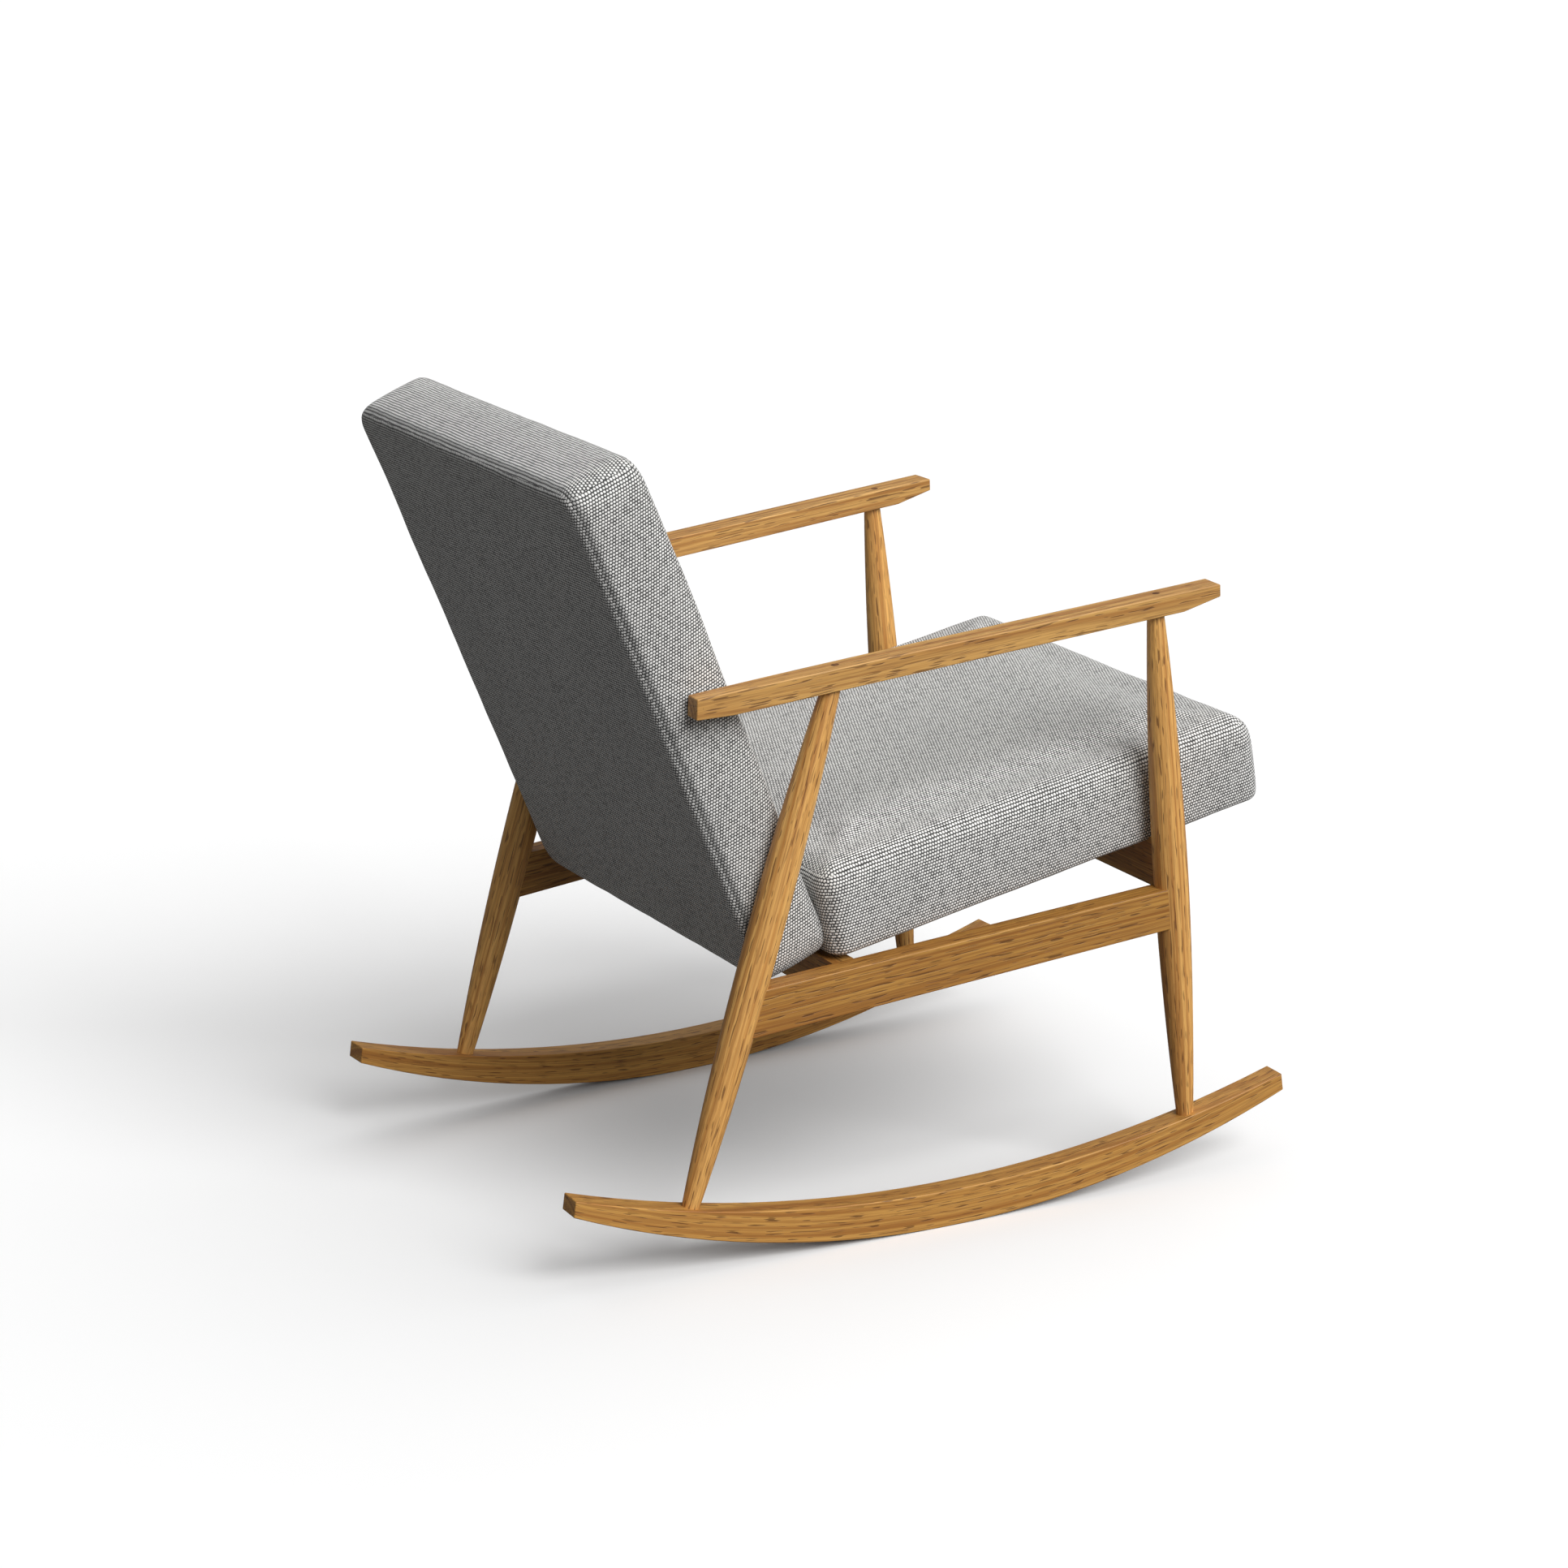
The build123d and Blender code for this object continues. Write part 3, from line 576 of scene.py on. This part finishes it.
def finish_cushion(obj, keys, counts, seams, depths, marks, seed):
    """Sews the seams into the surface, adds slight unevenness and one subdivision."""
    out = normals_of(obj)
    points = coords(obj.data)
    mark = np.zeros(len(points))
    for away, depth, strength in zip(rings_from(keys, counts, seams), depths, marks):
        fall = np.where(away == 0, 1.0, np.where(away == 1, 0.18, 0.0))
        points = points - out * (fall * depth)[:, None]
        mark = np.maximum(mark, np.where(away == 0, strength, 0.0))
    wave = np.array([noise.noise(Vector(p) * 11.0 + Vector((seed, 0, 0))) * 0.0011
                     + noise.noise(Vector(p) * 34.0 + Vector((0, seed, 0))) * 0.0004
                     for p in points])
    between = (keys[:, 2] > 0) & (keys[:, 2] < counts[2])
    belly = np.where(between, 0.0018 * np.sin(np.pi * keys[:, 2] / counts[2]) ** 0.7, 0.0)
    wave = np.where(between, np.maximum(wave, 0.0) + belly, wave)
    points = points + out * wave[:, None]
    put(obj, points)
    data = obj.data.attributes.new("seam", "FLOAT", "POINT")
    data.data.foreach_set("value", mark.astype(np.float32))
    smooth = obj.modifiers.new("Subdivision", "SUBSURF")
    smooth.levels = smooth.render_levels = 1
    for face in obj.data.polygons:
        face.use_smooth = True


def local_frame(at, angle):
    """Frame whose z leans back by the angle and whose y points to the rear."""
    z = Vector((0, math.sin(angle), math.cos(angle)))
    y = Vector((0, math.cos(angle), -math.sin(angle)))
    x = Vector((1, 0, 0))
    turn = Matrix((x, y, z)).transposed().to_4x4()
    return Matrix.Translation(at) @ turn


# ------------------------------------------------------------------ seat
def make_seat():
    keys, place, quads, counts = pad_shape(
        SEAT_SIZE, SEAT_CORNER, SEAT_EDGE, SEAT_LOW_EDGE, 0.0007)
    nz = counts[2]
    place[:, 1] -= SEAT_SIZE[1] / 2
    obj = mesh_object("seat_cushion", place, quads)
    obj.matrix_world = local_frame(SEAT_AT, SEAT_TILT)
    bottom = keys[:, 2] == 0
    deep = np.minimum(SEAT_SIZE[0] / 2 - abs(place[:, 0]),
                      SEAT_SIZE[1] / 2 - abs(place[:, 1] + SEAT_SIZE[1] / 2))
    place[:, 2] += np.where(bottom, 0.0016 * np.clip((deep - 0.010) / 0.004, 0, 1), 0.0)
    seam_row = round(nz * 0.80)
    held = np.where(keys[:, 2] <= 1, 1.0, 0.0)
    seam = on_side(keys, counts) & (keys[:, 2] == seam_row)
    held = np.maximum(held, np.where(seam, HELD_SEAM, 0.0))
    up = np.clip((place[:, 2] - 0.080) / 0.016, 0, 1)
    caps = 0.0028 + 0.0072 * up
    rear = np.clip(1 - (-0.012 - place[:, 1]) / 0.05, 0, 1)
    caps = caps * (1 - 0.6 * rear)
    front = np.clip((-0.50 - place[:, 1]) / 0.02, 0, 1)
    caps = caps + 0.0025 * front * (1 - up)
    put(obj, swell(obj, held, caps))
    seams = [("level", seam_row), ("corner", 1, seam_row), ("level", 2)]
    finish_cushion(obj, keys, counts, seams, [0.0005, 0.0006, 0.0003], [0.16, 0.16, 0.10], 3.0)
    obj.data.materials.append(weave("grey_weave_seat", ("yz", "xz", "yx")))
    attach(obj, "root")
    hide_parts("seat_cover", "seat_foam")
    return obj


def make_dust_cloth():
    """Thin cloth stapled under the seat, with a folded hem, sagging a little between the boards."""
    inset, corner, cells = 0.013, 0.010, 60
    half_x, half_y = SEAT_SIZE[0] / 2 - inset, SEAT_SIZE[1] / 2 - inset
    points, quads = [], []
    for j in range(cells + 1):
        for i in range(cells + 1):
            p = np.array([[(i / cells * 2 - 1) * half_x, (j / cells * 2 - 1) * half_y]])
            outline = max(abs(p[0, 0]) / half_x, abs(p[0, 1]) / half_y) > 0.999
            x, y = rounded(p, corner, half_x, half_y)[0] if outline else p[0]
            edge = min(half_x - abs(x), half_y - abs(y))
            middle = np.clip((edge - 0.05) / 0.12, 0, 1)
            hem = 0.0005 if edge < 0.012 else 0.0
            ripple = 0.0004 * noise.noise(Vector((x * 16, y * 16, 1.0)))
            lift = 0.0013 - hem + 0.004 * middle + ripple * middle
            points.append((x, y - SEAT_SIZE[1] / 2, lift))
    for j in range(cells):
        for i in range(cells):
            a = j * (cells + 1) + i
            quads.append([a, a + 1, a + cells + 2, a + cells + 1])
    obj = mesh_object("seat_dust_cloth", points, quads)
    obj.matrix_world = local_frame(SEAT_AT, SEAT_TILT)
    thick = obj.modifiers.new("Solidify", "SOLIDIFY")
    thick.thickness, thick.offset = 0.0007, 1.0
    for face in obj.data.polygons:
        face.use_smooth = True
    obj.data.materials.append(dust_cloth("dust_cloth"))
    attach(obj, "root")
    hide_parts("seat_dust_cover")


# ------------------------------------------------------------------ back
def depth_at(h):
    heights, depths = zip(*BACK_DEPTH)
    fit = np.polyfit(heights, depths, 3)
    return np.polyval(fit, h)


def make_back():
    keys, place, quads, counts = pad_shape(
        BACK_SIZE, BACK_CORNER, BACK_EDGE, BACK_REAR_EDGE, 0.0006)
    nz = counts[2]
    height = place[:, 1] + BACK_SIZE[1] / 2
    share = place[:, 2] / BACK_SIZE[2]
    depth = depth_at(height) * share
    height = height - 0.003 * share * np.clip(1 - height / 0.05, 0, 1)
    turned = np.stack([place[:, 0], -depth, height], 1)
    obj = mesh_object("back_cushion", turned, quads)
    obj.matrix_world = local_frame(BACK_AT, BACK_LEAN)
    rear_row, front_row = 1, nz - 1
    held = np.where((keys[:, 2] == 0), 0.9, 0.0)
    seam = on_side(keys, counts) & ((keys[:, 2] == rear_row) | (keys[:, 2] == front_row))
    held = np.maximum(held, np.where(seam, HELD_SEAM, 0.0))
    front = np.clip((share - 0.86) / 0.14, 0, 1)
    low = np.clip((0.16 - height) / 0.08, 0, 1)
    caps = 0.0026 + 0.0062 * front * (1 - 0.85 * low)
    caps = np.where(keys[:, 2] == 0, 0.0012, caps)
    put(obj, swell(obj, held, caps))
    seams = [("level", rear_row), ("level", rear_row + 1), ("level", front_row),
             ("corner", 2, front_row)]
    finish_cushion(obj, keys, counts, seams, [0.0011, 0.0005, 0.0009, 0.0004],
                   [0.60, 0.38, 0.36, 0.10], 8.0)
    obj.data.materials.append(weave("grey_weave_back", ("yz", "xz", "xy")))
    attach(obj, "root")
    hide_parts("back_cover", "back_foam", "back_rear_panel")
    return obj


# ------------------------------------------------------------------ materials on the CAD pieces
def dress_frame():
    for number, (name, tone, pale) in enumerate(OAK_PIECES):
        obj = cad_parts[name]
        paint(name, oak("oak_" + name, obj, 1.0 + number, "rocker" in name, tone, pale))
    oak_names = [row[0] for row in OAK_PIECES]
    metal = steel()
    inner_light, inner_dark = rgb(214, 178, 124), rgb(178, 134, 84)
    for number, name in enumerate(sorted(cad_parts)):
        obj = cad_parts[name]
        if name in oak_names or name in CUSHION_NODES:
            continue
        if name == "leg_top_plugs":
            paint(name, plain_wood("plug_wood", obj, rgb(122, 80, 42), rgb(88, 54, 28), 5.0))
        elif "dowels" in name:
            light, dark = rgb(216, 176, 130), rgb(190, 146, 100)
            paint(name, plain_wood("beech_" + name, obj, light, dark, 2.0 + number))
        elif name in PINE_PIECES:
            paint(name, plain_wood("pine_" + name, obj, inner_light, inner_dark, 3.0 + number))
        elif name == "back_bolt_caps":
            paint(name, black_plastic("black_cap", 900.0))
        elif name == "back_spacers":
            paint(name, black_plastic("black_spacer", 500.0))
        elif "webbing" in name:
            paint(name, strap_cloth("webbing_" + name))
        else:
            paint(name, metal)


# ------------------------------------------------------------------ floor, light, camera
def make_stage():
    """White to the camera, but dim to the chair, so that the shaded side stays dark."""
    bpy.ops.mesh.primitive_plane_add(size=FLOOR_SIZE, location=(0, 0, 0))
    floor = bpy.context.object
    floor.name = "floor"
    g = Graph("floor_paper")
    seen = g.node("ShaderNodeLightPath").outputs["Is Camera Ray"]
    fine = g.noise(g.place(), scale=3.0, detail=2.0)
    paper = g.mix(fine, (0.94, 0.94, 0.94, 1), (0.95, 0.95, 0.95, 1))
    g.set(color=g.mix(seen, FLOOR_BOUNCE, paper), rough=0.95, spec=0.0)
    floor.data.materials.append(g.material)

    world = bpy.data.worlds.new("studio")
    scene.world = world
    world.use_nodes = True
    tree = world.node_tree
    tree.nodes.clear()
    out = tree.nodes.new("ShaderNodeOutputWorld")
    sky = tree.nodes.new("ShaderNodeBackground")
    seen = tree.nodes.new("ShaderNodeLightPath")
    level = tree.nodes.new("ShaderNodeMix")
    level.inputs[2].default_value = SKY_LIT
    level.inputs[3].default_value = SKY_SEEN
    tree.links.new(seen.outputs["Is Camera Ray"], level.inputs[0])
    tree.links.new(level.outputs[0], sky.inputs["Strength"])
    tree.links.new(sky.outputs[0], out.inputs[0])

    sun("key", 2.6, 40, (0.77, 0.10, -0.63))
    sun("top", 1.7, 110, (0.12, 0.50, -0.86))


def sun(name, energy, spread, toward):
    """A sun lamp: spread is its angle in degrees, toward is where its light goes."""
    light = bpy.data.lights.new(name, "SUN")
    light.energy = energy
    light.angle = math.radians(spread)
    lamp = bpy.data.objects.new(name, light)
    scene.collection.objects.link(lamp)
    lamp.rotation_mode = "QUATERNION"
    lamp.rotation_quaternion = Vector(toward).to_track_quat("-Z", "Y")


def make_camera():
    level = math.cos(CAMERA_PITCH)
    look = Vector((level * math.cos(CAMERA_YAW), level * math.sin(CAMERA_YAW),
                   -math.sin(CAMERA_PITCH)))
    data = bpy.data.cameras.new("camera")
    data.sensor_width = 36.0
    data.lens = CAMERA_LENS
    data.clip_end = 200.0
    camera = bpy.data.objects.new("camera", data)
    scene.collection.objects.link(camera)
    camera.location = CAMERA_AT
    camera.rotation_mode = "QUATERNION"
    camera.rotation_quaternion = look.to_track_quat("-Z", "Y")
    scene.camera = camera


scene.view_settings.view_transform = "Standard"
make_camera()
make_stage()
dress_frame()
make_seat()
make_dust_cloth()
make_back()
